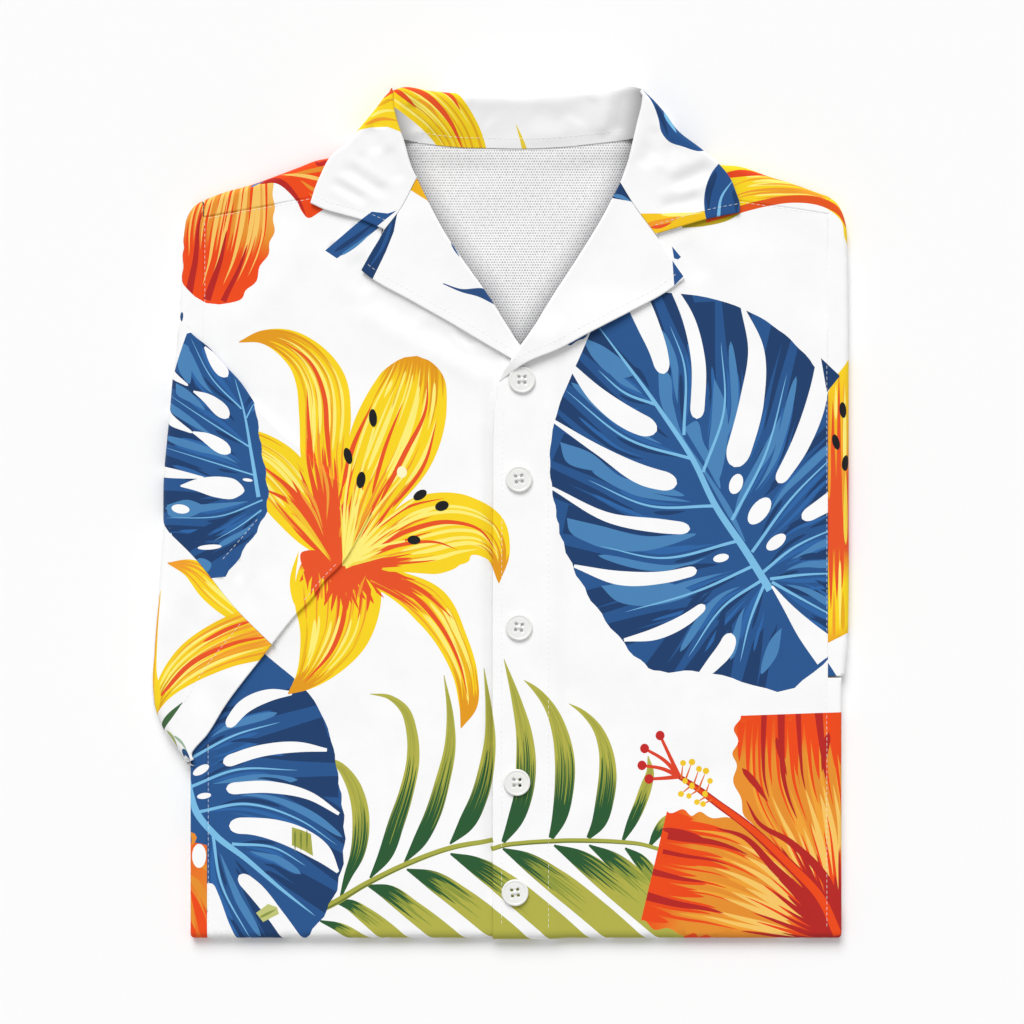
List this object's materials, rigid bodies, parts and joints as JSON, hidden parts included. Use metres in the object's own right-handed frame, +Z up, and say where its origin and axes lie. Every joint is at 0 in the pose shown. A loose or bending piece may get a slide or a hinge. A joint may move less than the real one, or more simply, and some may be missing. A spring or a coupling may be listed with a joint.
{
  "type": "hawaiian shirt",
  "caption": "Short-sleeved printed shirt with an open camp collar, buttoned and folded flat with one sleeve over the front and the tail turned up behind.",
  "frame": {"origin": "on the resting surface, under the middle of the folded shirt", "axes": "+Z up off the surface, +Y from the hem fold to the collar, -X the wearer's right"},
  "size_m": [0.4458, 0.5454, 0.0157],
  "materials": {
    "printed_cloth": "smooth woven cloth, white with a large print of leaves and flowers",
    "cloth_inside": "unprinted inside of the same cloth",
    "button_white": "polished white four-hole button"
  },
  "bodies": {
    "root": {"back_neck": "cloth_inside", "back_shoulder_left": "printed_cloth", "back_shoulder_right": "printed_cloth", "back_side_left": "printed_cloth", "back_side_right": "printed_cloth", "button_1": "button_white", "button_2": "button_white", "button_3": "button_white", "button_4": "button_white", "button_5": "button_white", "collar_band": "printed_cloth", "collar_leaf_left": "printed_cloth", "collar_leaf_right": "printed_cloth", "facing_left": "printed_cloth", "facing_right": "printed_cloth", "front_left": "printed_cloth", "front_right": "printed_cloth", "hidden_layers": "cloth_inside", "sleeve_left": "printed_cloth", "sleeve_right_cap": "printed_cloth", "sleeve_right_over": "printed_cloth", "sleeve_right_underarm": "printed_cloth", "sleeve_right_underside": "printed_cloth"}
  },
  "joints": []
}
